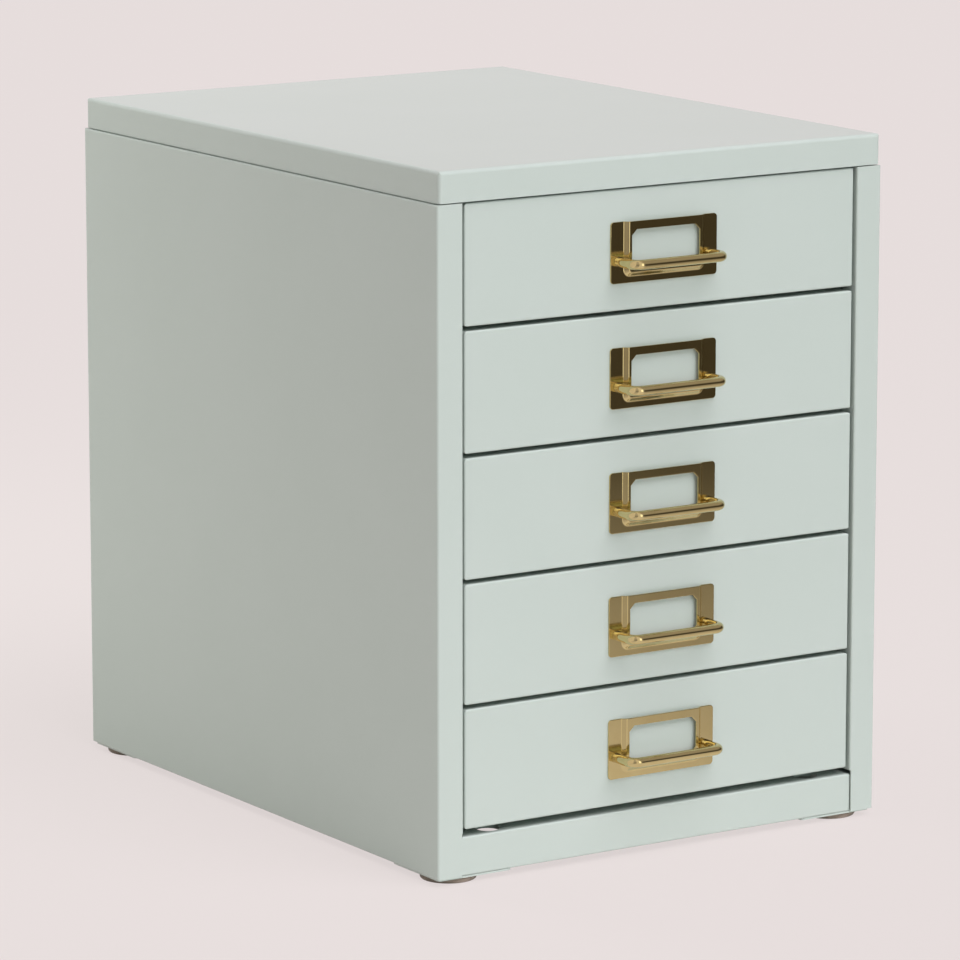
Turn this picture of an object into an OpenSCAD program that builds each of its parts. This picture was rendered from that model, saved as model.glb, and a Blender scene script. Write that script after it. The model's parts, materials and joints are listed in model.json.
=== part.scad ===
// Small sheet-steel drawer cabinet for papers and parts: five shallow drawers with wire pulls
// and label holders, a lift-off lid and felt feet. Millimetres, Z up, front towards -Y.
// The origin lies on the standing surface, under the middle of the whole outline.

/* [Cabinet] */
// Width over the side panels
cabinet_w = 280; // [250:1:330]
// Depth from the face of the stiles to the back
cabinet_d = 365; // [330:1:420]
// Width of each front stile
stile_w = 15.6; // [14.5:0.1:20]
// Depth of the lip folded back along each stile
stile_lip = 12; // [8:0.5:12.5]
// Thickness of the cabinet's steel sheet
sheet = 0.9; // [0.7:0.1:1]
// Outside radius of the upright front and back bends
bend_r = 1.3; // [1.1:0.1:3]
// Outside radius of the tight bends
fold_r = 1; // [1:0.1:1.6]
// Height of the base rail
rail_h = 20.7; // [19:0.1:40]
// Gap between the base rail and the lowest drawer
rail_gap = 3.9; // [2:0.1:6]
// Depth of the flanges of the base rail
rail_flange = 24; // [20:1:30]
// Depth of the side flanges under the floor panel
floor_flange = 14; // [8:1:16]
// Height of the stiles' notches above the base rail
notch_rise = 2.2; // [0.5:0.1:3]

/* [Lid] */
// Height of the lid
lid_h = 16.4; // [12:0.1:24]
// Shadow gap between the body and the lid
lid_gap = 0.6; // [0.5:0.1:3]
// Distance of the lid from the sides and back of the body
lid_inset = 1.1; // [0.5:0.1:2]
// Outside radius of the lid's bends and corners
lid_r = 2; // [1.2:0.1:3]
// Height of the upturned edge of the top panel
top_edge_h = 12; // [6:0.5:14]
// Distance of the top panel behind the front of the lid
top_edge_in = 6; // [2:0.5:12]
// Crown width of the lid stiffeners
stiffener_w = 26; // [20:1:40]
// Width of the foot flanges of the stiffeners
stiffener_foot = 12; // [10:0.5:16]
// Length of the lid stiffeners
stiffener_l = 236; // [180:1:240]
// Distance of each stiffener's middle from the front or back
stiffener_in = 74; // [50:1:100]
// Distance of the lid screws from the ends of a stiffener
lid_screw_in = 23; // [15:1:50]

/* [Drawers] */
// Height of a drawer front
front_h = 63.4; // [56:0.1:90]
// Gap between drawer fronts
front_gap = 2.4; // [1.4:0.1:4]
// Gap between a drawer front and a stile
front_side_gap = 1.7; // [1:0.1:2.2]
// How far the fronts and the base rail stand behind the stiles
front_recess = 1.2; // [0.4:0.1:2]
// Depth of the folded edges of a front
front_return = 12; // [8:0.5:16]
// Radius of the corners of a front, seen from in front
front_corner_r = 1.8; // [1.2:0.1:4]
// Thickness of the drawers' steel sheet
drawer_sheet = 0.8; // [0.6:0.1:1]
// Distance of a drawer box from the inner edge of a stile
box_side_gap = 6.4; // [6:0.1:9]
// Height of the box underside above the lower edge of its front
box_rise = 1.6; // [1:0.1:4]
// Height of the front above the rims of its box
rim_drop = 6; // [4:0.5:12]
// Reach of the rims to either side of the box
rim_reach = 5.4; // [4.6:0.1:5.6]
// Free space behind a closed drawer
rear_space = 9; // [6:0.5:20]
// How far a drawer pulls out
travel = 285; // [200:1:295]

/* [Runners] */
// Thickness of the runner channels
runner_t = 1; // [0.8:0.1:1.2]
// Height of the runner web below the channel
runner_web = 6; // [4:0.5:8]
// Gap under a drawer rim in its runner
slide_gap = 0.3; // [0.2:0.05:0.5]
// Gap over a drawer rim in its runner
lift_gap = 0.5; // [0.3:0.05:0.8]
// Gap between a rim or box side and the runner beside it
side_play = 0.7; // [0.4:0.1:0.8]
// Height of the stop tabs at the front of the runners
stop_h = 4; // [3:0.5:5]
// Crown width of the uprights
upright_w = 24; // [16:1:40]
// Width of the foot flanges of the uprights
upright_foot = 9; // [6:0.5:12]
// Distance of each upright's middle from the front or back
upright_in = 44; // [40:1:70]

/* [Label holder] */
// Width of the holder plate
holder_w = 67; // [64:0.5:90]
// Height of the holder plate
holder_h = 32.2; // [31:0.1:44]
// Thickness of the holder plate
holder_t = 0.8; // [0.6:0.1:1]
// Radius of the corners of the plate
holder_corner_r = 2; // [1:0.1:4]
// Drop of the plate's middle below the middle of the front
holder_drop = 1.3; // [0:0.1:4]
// Width of the raised label pocket
pocket_w = 51.4; // [50:0.2:51.6]
// Rise of the pocket from the plate
pocket_rise = 1.9; // [1.2:0.1:2.4]
// Run of the pocket's sloping edges
pocket_slope = 2.9; // [2:0.1:3.2]
// Height of the pocket's lower edge above the plate's lower edge
pocket_foot = 3; // [2.5:0.1:5]
// Width of the label window
window_w = 42.8; // [36:0.2:44]
// Height of the label window
window_h = 19.3; // [14:0.1:19.5]
// Height of the plate above the window
window_top = 4.3; // [4:0.1:6]
// Size of the window's cut corners
window_cut = 3; // [1:0.1:4]

/* [Wire pull] */
// Diameter of the pull wire
wire_d = 5.3; // [4:0.1:5.5]
// Distance between the middles of the pull's arms
pull_w = 57; // [56.8:0.1:60]
// Reach from the holder plate to the middle of the bar
pull_reach = 15; // [12:0.1:24]
// Radius of the pull's bends, along the middle of the wire
pull_bend_r = 5; // [3.2:0.1:6]
// Height of the arms' roots above the plate's lower edge
pull_root_h = 11.5; // [10:0.1:16]
// Diameter of the shanks that pass through the front
shank_d = 3; // [2.4:0.1:3.4]
// Diameter of the push-on caps behind the front
cap_d = 10; // [8:0.5:12]
// Thickness of the caps' rims
cap_t = 0.6; // [0.4:0.1:1]
// Height of the caps' collars
collar_h = 1.6; // [1:0.1:3]

/* [Feet] */
// Side of the square corner plates
plate_w = 45; // [43:0.5:60]
// Thickness of the corner plates
plate_t = 1; // [0.8:0.1:1.5]
// Distance of the corner plates from the edges of the body
plate_inset = 1.5; // [1:0.1:3]
// Diameter of the felt discs
felt_d = 30; // [20:0.5:30]
// Thickness of the felt discs
felt_t = 3; // [2.6:0.1:6]
// Distance of the middle of each disc from the edges of the body
felt_in = 17.5; // [17.5:0.5:20]
// Distance of the foot screws from the sides of the body
foot_screw_x = 37.6; // [37.6:0.2:40]
// Distance of the foot screws from the front or back of the body
foot_screw_y = 11; // [10.5:0.5:12]
// Diameter of the access holes above the foot screws
access_d = 13; // [10:0.5:15]
// Diameter of the screws
screw_d = 4; // [3:0.5:4]
// Diameter of the screw heads
screw_head_d = 7.5; // [6:0.5:8]
// Height of the screw heads
screw_head_h = 2.2; // [1.6:0.1:2.6]
// How far a screw stands out of the last sheet
screw_out = 1.5; // [0.5:0.1:2.2]

/* [Hidden] */
LEVELS = [1 : 5];
SIDES = ["left", "right"];
ENDS = ["front", "rear"];
$fn = 48;

// Clearances
seam = 0.3;
fit_gap = 0.1;
hole_gap = 0.1;
open_gap = 0.3;
top_gap = 0.3;
over = 1;

// Heights and widths that follow from the sizes above
levels = 5;
pitch = front_h + front_gap;
body_h = rail_h + rail_gap + levels * pitch - front_gap + top_gap;
foot_h = plate_t + felt_t;
half_w = cabinet_w / 2;
open_half = half_w - stile_w;
inner_half = half_w - sheet;
back_in = cabinet_d - 2 * sheet;
rail_half = open_half + sheet - seam;
rail_back = front_recess + rail_flange;
floor_top = rail_h - sheet;

// Drawer sizes
front_half = open_half - front_side_gap;
box_half = open_half - box_side_gap;
front_back = front_recess + front_return;
skin_y = front_recess + sheet;
wall_y = skin_y + drawer_sheet;
box_back = cabinet_d - rear_space;
rim_top = front_h - rim_drop;
rim_t = 2 * drawer_sheet;
rim_half = box_half + rim_reach;
rim_y = front_back + open_gap;

// Runner channel beside a rim, measured from the lower edge of the drawer's front
web_x = rim_half + side_play;
jaw_x = box_half + side_play;
lower_jaw = rim_top - rim_t - slide_gap;
upper_jaw = rim_top + lift_gap;
web_foot = lower_jaw - runner_t - runner_web;
web_top = front_h + top_gap - sheet - open_gap;
runner_y = front_back + side_play;
runner_end = box_back + open_gap + runner_t;
crown_x = web_x + runner_t;

// Ears on a drawer's sides, which meet the stop tabs when it is pulled out
rim_root = box_half - drawer_sheet;
ear_x = rim_half - open_gap;
ear_y = runner_y + runner_t + travel + open_gap;
ear_top = lower_jaw - runner_t - open_gap;
ear_foot = ear_top - stop_h;

// Label holder and pull, measured from the lower edge of the plate
holder_z = front_h / 2 - holder_drop - holder_h / 2;
face_y = front_recess - holder_t;
pocket_run = norm([pocket_slope, pocket_rise]);
pocket_wall = holder_t * (pocket_run - pocket_slope) / pocket_rise;
wire_r = wire_d / 2;
cap_y = wall_y + cap_t;
shank_end = wall_y + collar_h + cap_t;

// The origin is under the middle of the outline, from the pulls' bars to the back
pull_out = pull_reach + wire_r - face_y;
front_y = (pull_out - cabinet_d) / 2;

PAINT = "#C7D0CB";
BRASS = "#B39A5E";
STEEL = "#B9BAB6";
FELT = "#75655A";

function drawer_z(i) = rail_h + rail_gap + (levels - i) * pitch;
function side_sign(s) = s == "left" ? -1 : 1;
function end_y(e, inset) = e == "front" ? inset : cabinet_d - inset;

// ---------------------------------------------------------------- helpers

// Everything is drawn with the stile face at y = 0 and the body's underside at z = 0
module placed() {
    translate([0, front_y, foot_h])
        children();
}

module box_between(lo, hi) {
    translate(lo)
        cube(hi - lo);
}

module extrude_x(x0, x1) {
    translate([x0, 0, 0])
        rotate([90, 0, 90])
            linear_extrude(x1 - x0)
                children();
}

module extrude_y(y0, y1) {
    translate([0, y1, 0])
        rotate([90, 0, 0])
            linear_extrude(y1 - y0)
                children();
}

module extrude_z(z0, z1) {
    translate([0, 0, z0])
        linear_extrude(z1 - z0)
            children();
}

module mirrored(s) {
    if (side_sign(s) < 0)
        mirror([1, 0, 0])
            children();
    else
        children();
}

// The square beyond a corner's arc; inward points from the corner to the middle
module corner_cut(corner, inward, r) {
    difference() {
        translate(corner + inward * (r - over) / 2)
            square(r + over, center = true);
        translate(corner + inward * r)
            circle(r);
    }
}

// Rectangle with a radius for each corner, anticlockwise from the lowest one
module outline(lo, hi, r) {
    corners = [lo, [hi.x, lo.y], hi, [lo.x, hi.y]];
    inwards = [[1, 1], [-1, 1], [-1, -1], [1, -1]];
    difference() {
        translate(lo)
            square(hi - lo);
        for (k = [0 : 3])
            if (r[k] > 0)
                corner_cut(corners[k], inwards[k], r[k]);
    }
}

// ---------------------------------------------------------------- cabinet

module side_outline() {
    outline([open_half, 0], [half_w, cabinet_d], [fold_r, bend_r, bend_r, 0]);
}

// Plan of the right side panel: stile with its lip, side and back flange
module side_plan() {
    inner_r = bend_r - sheet;
    lip_r = fold_r - sheet;
    difference() {
        side_outline();
        outline([open_half + sheet, sheet], [inner_half, cabinet_d - sheet], [lip_r, inner_r, inner_r, 0]);
        translate([open_half - over, stile_lip])
            square([sheet + 2 * over, cabinet_d - sheet - stile_lip]);
    }
}

module side_panel(s) {
    color(PAINT)
        placed()
            mirrored(s)
                difference() {
                    intersection() {
                        union() {
                            extrude_z(0, body_h)
                                side_plan();
                            for (z = [0, body_h - sheet])
                                extrude_z(z, z + sheet)
                                    side_outline();
                        }
                        extrude_y(-over, cabinet_d + over)
                            outline([open_half - over, 0], [half_w, body_h], [0, fold_r, fold_r, 0]);
                    }
                    box_between(
                        [open_half - over, -over, -over],
                        [open_half + sheet, rail_back + seam, rail_h + notch_rise]
                    );
                }
}

module back_panel() {
    back_half = half_w - bend_r - fit_gap;
    foot_half = open_half - fit_gap;
    color(PAINT)
        placed()
            difference() {
                union() {
                    box_between([-back_half, back_in, sheet], [back_half, back_in + sheet, body_h - sheet]);
                    box_between([-foot_half, back_in, 0], [foot_half, back_in + sheet, body_h]);
                    box_between([-foot_half, back_in - rail_flange, 0], [foot_half, back_in, sheet]);
                }
                foot_screw_holes("rear", screw_d / 2 + hole_gap, -over, sheet + over);
            }
}

// One upright hole over each foot screw at one end of the cabinet
module foot_screw_holes(e, r, z0, z1) {
    for (s = SIDES)
        translate([side_sign(s) * (half_w - foot_screw_x), end_y(e, foot_screw_y), z0])
            cylinder(r = r, h = z1 - z0);
}

module floor_panel() {
    x = inner_half - fit_gap;
    y0 = front_recess + fold_r + fit_gap;
    y1 = back_in - fit_gap;
    color(PAINT)
        placed()
            difference() {
                union() {
                    box_between([-x, y0, floor_top - sheet], [x, y1, floor_top]);
                    for (s = SIDES)
                        mirrored(s)
                            box_between(
                                [x - sheet, rail_back, floor_top - floor_flange],
                                [x, cabinet_d - rail_flange, floor_top]
                            );
                }
                for (e = ENDS)
                    foot_screw_holes(e, access_d / 2, floor_top - sheet - over, floor_top + over);
            }
}

module base_rail() {
    color(PAINT)
        placed()
            difference() {
                extrude_x(-rail_half, rail_half)
                    difference() {
                        outline([front_recess, 0], [rail_back, rail_h], [fold_r, 0, 0, fold_r]);
                        outline(
                            [front_recess + sheet, sheet],
                            [rail_back + over, rail_h - sheet],
                            [fold_r - sheet, 0, 0, fold_r - sheet]
                        );
                    }
                foot_screw_holes("front", access_d / 2, sheet + over, rail_h + over);
                foot_screw_holes("front", screw_d / 2 + hole_gap, -over, sheet + over);
            }
}

// ---------------------------------------------------------------- lid

lid_bottom = body_h + lid_gap;
lid_top = lid_bottom + lid_h;
lid_half = half_w - lid_inset;
lid_back = cabinet_d - lid_inset;

// Block between two corners with rounded top and upright edges
module capped_block(lo, hi, r) {
    intersection() {
        extrude_z(lo.z, hi.z)
            outline([lo.x, lo.y], [hi.x, hi.y], [r, r, r, r]);
        extrude_y(lo.y - over, hi.y + over)
            outline([lo.x, lo.z], [hi.x, hi.z], [0, 0, r, r]);
        extrude_x(lo.x - over, hi.x + over)
            outline([lo.y, lo.z], [hi.y, hi.z], [0, 0, r, r]);
    }
}

module lid() {
    color(PAINT)
        placed()
            difference() {
                capped_block([-lid_half, 0, lid_bottom], [lid_half, lid_back, lid_top], lid_r);
                capped_block(
                    [-lid_half + sheet, sheet, lid_bottom - over],
                    [lid_half - sheet, lid_back - sheet, lid_top - sheet],
                    lid_r - sheet
                );
            }
}

module top_panel() {
    x = lid_half - sheet - open_gap;
    y0 = top_edge_in;
    y1 = lid_back - sheet - open_gap;
    r = lid_r;
    q = lid_r - sheet;
    color(PAINT)
        placed()
            difference() {
                extrude_z(body_h, body_h + top_edge_h)
                    outline([-x, y0], [x, y1], [r, r, r, r]);
                extrude_z(body_h + sheet, body_h + top_edge_h + over)
                    outline([-x + sheet, y0 + sheet], [x - sheet, y1 - sheet], [q, q, q, q]);
                lid_screw_holes(body_h - over, body_h + sheet + over);
            }
}

lid_screw_x = stiffener_l / 2 - lid_screw_in;
lid_screw_y = (stiffener_w + stiffener_foot) / 2;

function lid_screw_places() = [
    for (e = ENDS, sx = [-1, 1], sy = [-1, 1])
        [sx * lid_screw_x, end_y(e, stiffener_in) + sy * lid_screw_y]
];

module lid_screw_holes(z0, z1) {
    for (p = lid_screw_places())
        translate([p.x, p.y, z0])
            cylinder(r = screw_d / 2 + hole_gap, h = z1 - z0);
}

// Hat section with its crown under the lid and its feet on the top panel
module lid_stiffener(e) {
    y = end_y(e, stiffener_in);
    z0 = body_h + sheet;
    z1 = lid_top - sheet;
    crown = stiffener_w / 2;
    foot = crown + stiffener_foot;
    color(PAINT)
        placed()
            difference() {
                extrude_x(-stiffener_l / 2, stiffener_l / 2)
                    difference() {
                        union() {
                            translate([y - foot, z0])
                                square([2 * foot, sheet]);
                            outline([y - crown, z0], [y + crown, z1], [0, 0, fold_r, fold_r]);
                        }
                        outline(
                            [y - crown + sheet, z0 - over],
                            [y + crown - sheet, z1 - sheet],
                            [0, 0, fold_r - sheet, fold_r - sheet]
                        );
                    }
                lid_screw_holes(z0 - over, z0 + sheet + over);
            }
}

// Pan-head screw with its shank upwards; head_down puts the head below z = 0
module screw(shank_l) {
    rotate_extrude()
        union() {
            square([screw_d / 2, shank_l]);
            translate([0, -screw_head_h])
                intersection() {
                    square([screw_head_d / 2, screw_head_h]);
                    translate([0, screw_head_d])
                        circle(screw_head_d);
                }
        }
}

module lid_screws() {
    color(STEEL)
        placed()
            for (p = lid_screw_places())
                translate([p.x, p.y, body_h])
                    screw(2 * sheet + screw_out);
}

// ---------------------------------------------------------------- runners

// Hat-section post between a side panel and the runners
module upright(s, e) {
    y = end_y(e, upright_in);
    crown = upright_w / 2;
    foot = crown + upright_foot;
    color(PAINT)
        placed()
            mirrored(s)
                extrude_z(floor_top, body_h - sheet)
                    difference() {
                        union() {
                            translate([inner_half - sheet, y - foot])
                                square([sheet, 2 * foot]);
                            outline([crown_x, y - crown], [inner_half, y + crown], [fold_r, 0, 0, fold_r]);
                        }
                        outline(
                            [crown_x + sheet, y - crown + sheet],
                            [inner_half + over, y + crown - sheet],
                            [fold_r - sheet, 0, 0, fold_r - sheet]
                        );
                    }
}

// Channel that holds a drawer's rim, with a stop tab in front and a closed end
module runner(s, i) {
    z = drawer_z(i);
    color(PAINT)
        placed()
            mirrored(s)
                translate([0, 0, z]) {
                    extrude_y(runner_y, runner_end)
                        union() {
                            translate([web_x, web_foot])
                                square([runner_t, web_top - web_foot]);
                            translate([jaw_x, lower_jaw - runner_t])
                                square([web_x - jaw_x, runner_t]);
                            translate([jaw_x, upper_jaw])
                                square([web_x - jaw_x, runner_t]);
                        }
                    box_between(
                        [jaw_x, runner_y, lower_jaw - runner_t - stop_h],
                        [web_x, runner_y + runner_t, lower_jaw]
                    );
                    box_between([jaw_x, runner_end - runner_t, lower_jaw], [web_x, runner_end, upper_jaw]);
                }
}

// ---------------------------------------------------------------- feet

module corner_plate(s, e) {
    half = plate_w / 2;
    y = end_y(e, plate_inset + half);
    x = half_w - plate_inset - half;
    r = lid_r;
    color(PAINT)
        placed()
            difference() {
                mirrored(s)
                    extrude_z(-plate_t, 0)
                        outline([x - half, y - half], [x + half, y + half], [r, r, r, r]);
                foot_screw_holes(e, screw_d / 2 + hole_gap, -plate_t - over, over);
            }
}

module felt_foot(s, e) {
    color(FELT)
        placed()
            mirrored(s)
                translate([half_w - felt_in, end_y(e, felt_in), -foot_h])
                    cylinder(d = felt_d, h = felt_t, $fn = 96);
}

module foot_screws() {
    color(STEEL)
        placed()
            for (s = SIDES, e = ENDS)
                translate([side_sign(s) * (half_w - foot_screw_x), end_y(e, foot_screw_y), sheet])
                    rotate([180, 0, 0])
                        screw(sheet + plate_t + screw_out);
}

// ---------------------------------------------------------------- drawers

// Folded tray with hemmed rims that run in the channels
module drawer_box(i) {
    r = 2 * drawer_sheet;
    in_r = r - drawer_sheet;
    color(PAINT)
        placed()
            translate([0, 0, drawer_z(i)]) {
                difference() {
                    intersection() {
                        extrude_z(box_rise, rim_top)
                            outline([-box_half, skin_y], [box_half, box_back], [0, 0, r, r]);
                        extrude_y(skin_y, box_back)
                            outline([-box_half, box_rise], [box_half, rim_top], [r, r, 0, 0]);
                        extrude_x(-box_half, box_half)
                            outline([skin_y, box_rise], [box_back, rim_top], [0, r, 0, 0]);
                    }
                    intersection() {
                        extrude_z(box_rise, rim_top + over)
                            outline(
                                [-box_half + drawer_sheet, wall_y],
                                [box_half - drawer_sheet, box_back - drawer_sheet],
                                [0, 0, in_r, in_r]
                            );
                        extrude_y(skin_y, box_back)
                            outline(
                                [-box_half + drawer_sheet, box_rise + drawer_sheet],
                                [box_half - drawer_sheet, rim_top + over],
                                [in_r, in_r, 0, 0]
                            );
                    }
                    shank_holes(skin_y - over, wall_y + over);
                }
                for (s = SIDES)
                    mirrored(s) {
                        box_between([rim_root, rim_y, rim_top - rim_t], [rim_half, box_back, rim_top]);
                        box_between([rim_root, ear_y, ear_foot], [ear_x, ear_y + runner_t, ear_top]);
                    }
            }
}

// Holes for the pull's shanks, with z measured from the lower edge of the front
module shank_holes(y0, y1) {
    for (s = SIDES)
        mirrored(s)
            translate([pull_w / 2, y1, holder_z + pull_root_h])
                rotate([90, 0, 0])
                    cylinder(r = shank_d / 2 + hole_gap, h = y1 - y0);
}

// Front panel with its four edges folded back
module drawer_front(i) {
    r = front_corner_r;
    q = front_corner_r - sheet;
    x = front_half;
    color(PAINT)
        placed()
            translate([0, 0, drawer_z(i)])
                difference() {
                    intersection() {
                        extrude_y(front_recess, front_back)
                            outline([-x, 0], [x, front_h], [r, r, r, r]);
                        extrude_z(0, front_h)
                            outline([-x, front_recess], [x, front_back], [fold_r, fold_r, 0, 0]);
                        extrude_x(-x, x)
                            outline([front_recess, 0], [front_back, front_h], [fold_r, 0, 0, fold_r]);
                    }
                    extrude_y(skin_y, front_back + over)
                        outline([-x + sheet, sheet], [x - sheet, front_h - sheet], [q, q, q, q]);
                    shank_holes(front_recess - over, skin_y + over);
                }
}

// ---------------------------------------------------------------- label holder and pull

// Cross-section of the pocket, seen along its edge; grown by the wall for the outside
module pocket_section(half, depth, base) {
    polygon([
        [-half, base],
        [-half + pocket_slope, base - depth],
        [half - pocket_slope, base - depth],
        [half, base]
    ]);
}

// Raised pocket as a solid: sloping sides and a sloping lower edge, open at the top
module pocket_block(half, foot, base, top) {
    intersection() {
        extrude_z(foot, top)
            pocket_section(half, pocket_rise, base);
        extrude_x(-half, half)
            polygon([
                [base, foot],
                [base - pocket_rise, foot + pocket_slope],
                [base - pocket_rise, top],
                [base, top]
            ]);
    }
}

// Label window with cut corners, in the plane of the plate
module window_outline() {
    x = window_w / 2;
    z1 = holder_h - window_top;
    z0 = z1 - window_h;
    c = window_cut;
    polygon([
        [-x + c, z0], [x - c, z0], [x, z0 + c], [x, z1 - c],
        [x - c, z1], [-x + c, z1], [-x, z1 - c], [-x, z0 + c]
    ]);
}

// Stamped plate with a raised pocket for a card, open at its upper edge
module label_holder(i) {
    r = holder_corner_r;
    back = front_recess;
    color(BRASS)
        placed()
            translate([0, 0, drawer_z(i)])
                difference() {
                    translate([0, 0, holder_z])
                        difference() {
                            union() {
                                extrude_y(face_y, back)
                                    outline([-holder_w / 2, 0], [holder_w / 2, holder_h], [r, r, r, r]);
                                pocket_block(pocket_w / 2, pocket_foot, face_y, holder_h);
                            }
                            pocket_block(
                                pocket_w / 2 - pocket_wall,
                                pocket_foot + pocket_wall,
                                back,
                                holder_h + over
                            );
                            extrude_y(face_y - pocket_rise - over, back + over)
                                window_outline();
                        }
                    shank_holes(face_y - over, back + over);
                }
}

// Wire pull: two arms and a bar, with shanks through the plate and the drawer's front
module pull(i) {
    x = pull_w / 2;
    b = pull_bend_r;
    color(BRASS)
        placed()
            translate([0, face_y, drawer_z(i) + holder_z + pull_root_h]) {
                translate([-x + b, -pull_reach, 0])
                    rotate([0, 90, 0])
                        cylinder(r = wire_r, h = 2 * (x - b));
                for (s = SIDES)
                    mirrored(s) {
                        translate([x - b, -pull_reach + b, 0])
                            rotate([0, 0, -90])
                                rotate_extrude(angle = 90)
                                    translate([b, 0])
                                        circle(wire_r);
                        translate([x, 0, 0])
                            rotate([90, 0, 0])
                                cylinder(r = wire_r, h = pull_reach - b);
                        translate([x, shank_end - face_y, 0])
                            rotate([90, 0, 0])
                                cylinder(d = shank_d, h = shank_end - face_y);
                    }
            }
}

// Push-on caps that grip the shanks behind the drawer's front
module pull_caps(i) {
    color(STEEL)
        placed()
            translate([0, 0, drawer_z(i) + holder_z + pull_root_h])
                for (s = SIDES)
                    mirrored(s)
                        translate([pull_w / 2, wall_y, 0])
                            rotate([-90, 0, 0])
                                difference() {
                                    union() {
                                        cylinder(d = cap_d, h = cap_t);
                                        cylinder(d = shank_d + 4 * cap_t, h = collar_h);
                                    }
                                    translate([0, 0, -over])
                                        cylinder(r = shank_d / 2 + hole_gap, h = collar_h + 2 * over);
                                }
}

// ---------------------------------------------------------------- nodes

for (s = SIDES) {
    side_panel(s);
    for (i = LEVELS)
        runner(s, i);
    for (e = ENDS) {
        upright(s, e);
        corner_plate(s, e);
        felt_foot(s, e);
    }
}
back_panel();
floor_panel();
base_rail();
top_panel();
lid();
for (e = ENDS)
    lid_stiffener(e);
lid_screws();
foot_screws();
for (i = LEVELS) {
    drawer_box(i);
    drawer_front(i);
    label_holder(i);
    pull(i);
    pull_caps(i);
}
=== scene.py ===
"""Looks for a small sheet-steel drawer cabinet with brass label holders, wire pulls and felt feet.

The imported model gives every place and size. This script gives the steel its powder coat, presses the
label holders, bends the wire pulls and cuts the felt discs as smooth surfaces, and sets up a plain studio.
"""

import json
import logging
import math
from dataclasses import dataclass, field
from enum import Enum
from typing import Any, Sequence

import bpy
import numpy as np
from mathutils import Matrix, Vector

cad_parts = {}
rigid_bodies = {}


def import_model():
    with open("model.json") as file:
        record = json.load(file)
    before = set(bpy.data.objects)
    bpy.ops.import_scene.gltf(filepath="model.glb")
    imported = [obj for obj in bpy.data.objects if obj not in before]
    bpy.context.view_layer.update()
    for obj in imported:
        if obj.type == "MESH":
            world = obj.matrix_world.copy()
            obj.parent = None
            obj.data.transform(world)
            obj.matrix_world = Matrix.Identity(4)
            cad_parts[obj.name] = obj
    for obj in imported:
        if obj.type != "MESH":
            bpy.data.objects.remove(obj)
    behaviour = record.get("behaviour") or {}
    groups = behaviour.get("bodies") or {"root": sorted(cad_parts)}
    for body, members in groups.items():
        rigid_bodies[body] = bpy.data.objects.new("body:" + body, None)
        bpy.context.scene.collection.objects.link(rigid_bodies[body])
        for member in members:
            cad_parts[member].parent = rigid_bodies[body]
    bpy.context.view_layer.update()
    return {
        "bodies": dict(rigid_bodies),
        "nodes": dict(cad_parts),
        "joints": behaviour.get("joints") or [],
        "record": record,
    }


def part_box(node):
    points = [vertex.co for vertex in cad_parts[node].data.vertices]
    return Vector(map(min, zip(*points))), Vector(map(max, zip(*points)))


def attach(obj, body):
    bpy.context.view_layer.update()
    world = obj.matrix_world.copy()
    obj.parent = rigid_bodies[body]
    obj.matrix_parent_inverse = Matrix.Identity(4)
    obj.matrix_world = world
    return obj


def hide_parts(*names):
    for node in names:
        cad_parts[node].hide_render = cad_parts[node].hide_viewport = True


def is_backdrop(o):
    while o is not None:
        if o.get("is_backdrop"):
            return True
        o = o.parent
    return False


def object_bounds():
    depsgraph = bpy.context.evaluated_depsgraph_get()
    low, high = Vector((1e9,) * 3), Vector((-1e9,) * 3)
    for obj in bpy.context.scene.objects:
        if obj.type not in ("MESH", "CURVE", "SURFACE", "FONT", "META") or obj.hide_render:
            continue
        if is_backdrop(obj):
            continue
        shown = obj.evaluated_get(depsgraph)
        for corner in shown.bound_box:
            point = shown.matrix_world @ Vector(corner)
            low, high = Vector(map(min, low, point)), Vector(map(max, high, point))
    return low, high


logging.basicConfig(level=logging.INFO, format="%(message)s")
log = logging.getLogger("cabinet")

MM = 0.001
DRAWERS = range(1, 6)
SIDES = ("left", "right")
ENDS = ("front", "rear")
UP = (0.0, 0.0, 1.0)


def linear(colour: str) -> tuple[float, float, float, float]:
    """Turn an sRGB hex colour into linear RGBA.

    Args:
        colour: Six hex digits after a hash sign.

    Returns:
        The linear red, green and blue, and an alpha of one.
    """
    steps = np.array([int(colour[k : k + 2], 16) for k in (1, 3, 5)]) / 255.0
    low, high = steps / 12.92, ((steps + 0.055) / 1.055) ** 2.4
    red, green, blue = np.where(steps <= 0.04045, low, high)
    return float(red), float(green), float(blue), 1.0


def add(
    tree: bpy.types.NodeTree, kind: str, inputs: dict[Any, Any] | None = None, **settings: Any
) -> bpy.types.Node:
    """Add a node with its settings, and set or link its inputs.

    Args:
        tree: The node tree that gets the node.
        kind: Blender's name for the type of node.
        inputs: From an input's name or number to a value, or to an output socket to link.
        settings: The node's own properties.

    Returns:
        The new node.
    """
    node = tree.nodes.new(kind)
    for name, value in settings.items():
        setattr(node, name, value)
    for key, value in (inputs or {}).items():
        if isinstance(value, bpy.types.NodeSocket):
            tree.links.new(value, node.inputs[key])
        else:
            node.inputs[key].default_value = value
    return node


def calculate(
    tree: bpy.types.NodeTree, operation: str, *values: float | bpy.types.NodeSocket
) -> bpy.types.NodeSocket:
    """Calculate with a Math node.

    Args:
        tree: The node tree.
        operation: Blender's name for the calculation.
        values: The numbers or output sockets that it works on, in order.

    Returns:
        The result.
    """
    return add(tree, "ShaderNodeMath", dict(enumerate(values)), operation=operation).outputs[0]


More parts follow.
